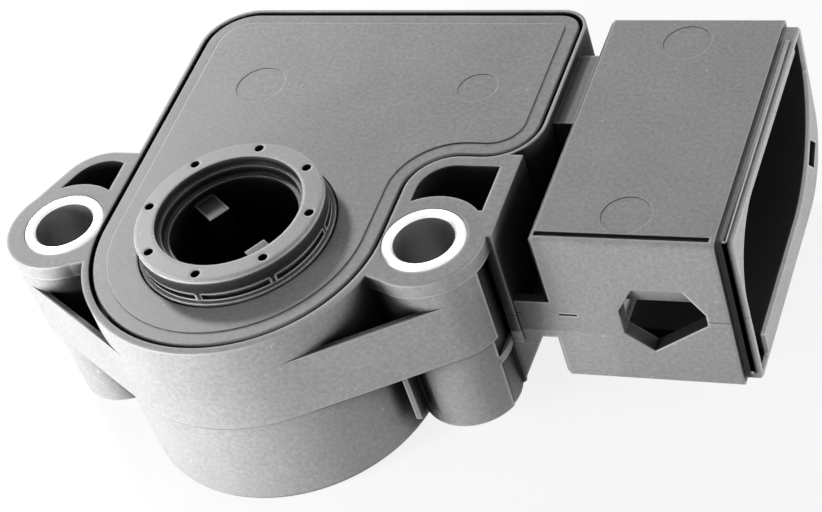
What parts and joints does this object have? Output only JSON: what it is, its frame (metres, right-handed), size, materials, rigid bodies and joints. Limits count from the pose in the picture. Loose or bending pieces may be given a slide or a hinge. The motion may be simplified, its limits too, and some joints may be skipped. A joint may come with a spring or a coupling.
{
  "type": "throttle position sensor",
  "caption": "Rotary throttle position sensor: moulded housing with bushed screw ears, a spring-returned drive collar and a keyed plug shroud with blade terminals.",
  "frame": {"origin": "rotor axis, on the plane of the two bush faces that bolt to the throttle body", "axes": "+Z along the rotor axis, out of the throttle side; +X along the row of screw holes to the mouth of the plug shroud; +Y to the back edge of the cover"},
  "size_m": [0.0645, 0.043, 0.0217],
  "materials": {
    "housing_plastic": "glass-filled polyester, fine mould grain",
    "cover_plastic": "glass-filled polyester, fine mould grain",
    "rotor_plastic": "black acetal, satin",
    "bush_steel": "zinc-plated, turned",
    "seal_rubber": "moulded, matt",
    "washer_plastic": "PTFE, matt",
    "bearing_bronze": "sintered bronze, oiled",
    "spring_steel": "drawn spring wire",
    "board_laminate": "glass-epoxy laminate",
    "carbon_ink": "screen-printed carbon",
    "silver_ink": "screen-printed silver",
    "contact_bronze": "stamped phosphor bronze",
    "terminal_brass": "stamped brass, tin-plated"
  },
  "bodies": {
    "body": {"housing": "housing_plastic", "cover_plate": "cover_plastic", "cover_seal": "seal_rubber", "bushing_left": "bush_steel", "bushing_right": "bush_steel", "rotor_seal": "seal_rubber", "thrust_washer": "washer_plastic", "bearing_bush": "bearing_bronze", "return_spring": "spring_steel", "element_board": "board_laminate", "resistor_track": "carbon_ink", "conductor_supply": "silver_ink", "conductor_signal": "silver_ink", "conductor_ground": "silver_ink", "contact_spring_supply": "contact_bronze", "contact_spring_signal": "contact_bronze", "contact_spring_ground": "contact_bronze", "terminal_supply": "terminal_brass", "terminal_signal": "terminal_brass", "terminal_ground": "terminal_brass", "terminal_seal": "seal_rubber"},
    "rotor": {"rotor": "rotor_plastic", "wiper_contact": "contact_bronze"}
  },
  "joints": [
    {"name": "rotor_turn", "type": "hinge", "parent": "body", "child": "rotor", "pos_m": [0, 0, 0], "axis": [0, 0, 1], "range_deg": [0, 110], "stiffness_Nm_per_rad": 0.008, "springref_deg": -51.57, "deforming": ["return_spring"]}
  ]
}
